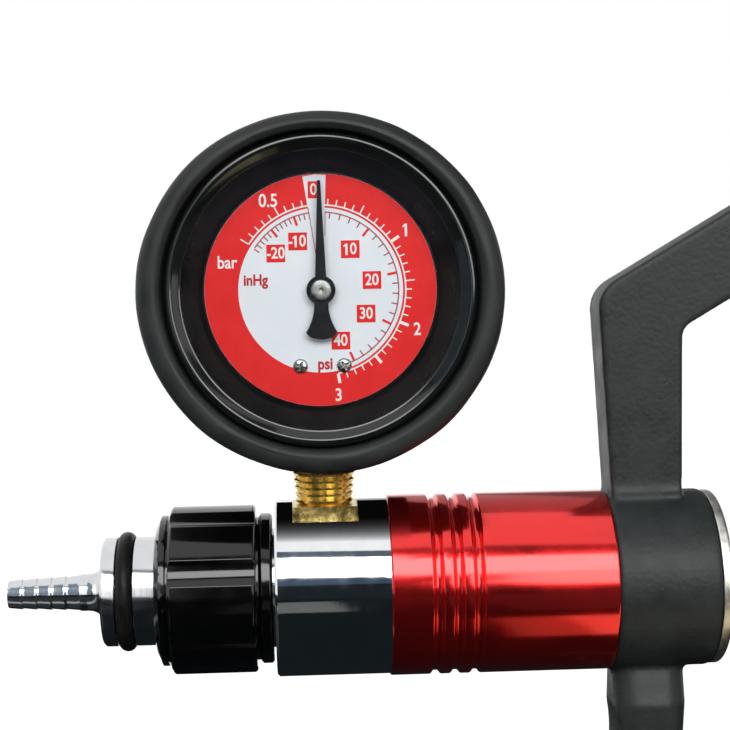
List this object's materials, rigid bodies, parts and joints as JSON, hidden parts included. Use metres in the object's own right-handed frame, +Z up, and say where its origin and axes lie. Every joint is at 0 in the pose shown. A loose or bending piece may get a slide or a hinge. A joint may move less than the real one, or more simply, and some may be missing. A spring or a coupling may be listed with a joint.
{
  "type": "hand vacuum and pressure tester",
  "caption": "Hand-held squeeze pump with a sliding selector sleeve, hose barb, red barrel, lever and fixed grip, and a compound dial gauge in a rubber boot.",
  "frame": {"origin": "on the pump axis, at the end of the hose barb where a pushed-on hose stops", "axes": "+X along the pump axis from the barb towards the lever, +Z up from the pump axis to the gauge, the dial faces -Y"},
  "size_m": [0.2343, 0.039, 0.2116],
  "materials": {
    "chrome": "polished",
    "cap_metal": "bright turned",
    "seal_rubber": "matt",
    "sleeve_plastic": "glossy",
    "valve_plastic": "moulded",
    "spring_steel": "drawn wire",
    "steel": "plated",
    "red_anodised": "glossy red",
    "piston_metal": "turned",
    "brass": "turned",
    "frame_paint": "textured black powder coat",
    "boot_rubber": "matt",
    "case_metal": "satin black",
    "ring_plastic": "satin black",
    "glass": "clear",
    "dial_print": "printed",
    "needle_paint": "satin black"
  },
  "bodies": {
    "pump_body": {"nozzle": "chrome", "nozzle_seal": "seal_rubber", "sleeve_seals": "seal_rubber", "pump_head": "chrome", "head_seal": "seal_rubber", "valve_plate": "steel", "valve_plate_screws": "steel", "barrel": "red_anodised", "return_spring": "spring_steel", "intake_spring": "spring_steel", "exhaust_spring": "spring_steel", "rod_bush": "brass", "rear_cap": "cap_metal", "frame": "frame_paint", "collar_set_screw": "steel", "pivot_pin": "steel", "pivot_clip": "steel", "gauge_stem": "brass", "gauge_case": "case_metal", "gauge_boot": "boot_rubber", "bezel": "case_metal", "lens": "glass", "lens_gasket": "seal_rubber", "spacer_ring": "ring_plastic", "dial": "dial_print", "dial_screws": "steel", "movement_rear_plate": "brass", "movement_front_plate": "brass", "movement_pillars": "brass", "bourdon_tube": "brass", "tube_tip": "brass", "hairspring": "spring_steel", "case_screws": "steel"},
    "selector": {"selector_sleeve": "sleeve_plastic"},
    "piston_group": {"piston": "piston_metal", "piston_seal": "seal_rubber", "piston_washer": "steel", "piston_nut": "steel", "piston_rod": "steel", "rod_pin": "steel", "rod_pin_clip": "steel"},
    "lever": {"lever": "frame_paint"},
    "intake_poppet": {"intake_valve": "valve_plastic"},
    "exhaust_poppet": {"exhaust_valve": "valve_plastic"},
    "pointer": {"needle": "needle_paint", "needle_cap": "steel", "pinion_arbor": "brass"},
    "sector": {"sector_gear": "brass"},
    "link": {"tip_link": "steel"}
  },
  "joints": [
    {"name": "lever_squeeze", "type": "hinge", "parent": "pump_body", "child": "lever", "pos_m": [0.1592, 0, 0.0827], "axis": [0, 1, 0], "range_deg": [0, 20]},
    {"name": "piston_slide", "type": "slide", "parent": "pump_body", "child": "piston_group", "axis": [-1, 0, 0], "range_m": [0, 0.02925], "stiffness_N_per_m": 600, "springref_m": -0.02, "deforming": ["return_spring"]},
    {"name": "selector_slide", "type": "slide", "parent": "pump_body", "child": "selector", "axis": [-1, 0, 0], "range_m": [0, 0.009]},
    {"name": "intake_valve_lift", "type": "slide", "parent": "pump_body", "child": "intake_poppet", "axis": [1, 0, 0], "range_m": [0, 0.0012], "stiffness_N_per_m": 40, "springref_m": -0.002, "deforming": ["intake_spring"]},
    {"name": "exhaust_valve_lift", "type": "slide", "parent": "pump_body", "child": "exhaust_poppet", "axis": [-1, 0, 0], "range_m": [0, 0.0012], "stiffness_N_per_m": 40, "springref_m": -0.002, "deforming": ["exhaust_spring"]},
    {"name": "needle_sweep", "type": "hinge", "parent": "pump_body", "child": "pointer", "pos_m": [0.0485, 0, 0.0626], "axis": [0, 1, 0], "range_deg": [-56.5, 169.5]},
    {"name": "sector_swing", "type": "hinge", "parent": "pump_body", "child": "sector", "pos_m": [0.0485, 0, 0.0482], "axis": [0, 1, 0], "range_deg": [-21.3, 7.2]},
    {"name": "link_turn", "type": "hinge", "parent": "sector", "child": "link", "pos_m": [0.04789, 0, 0.04324], "axis": [0, 1, 0], "range_deg": [-7.2, 21.3]}
  ],
  "couplings": [
    {"joint": "piston_slide", "follows": "lever_squeeze", "m_per_rad": 0.08355},
    {"joint": "sector_swing", "follows": "needle_sweep", "ratio": -0.125},
    {"joint": "link_turn", "follows": "needle_sweep", "ratio": 0.125}
  ]
}
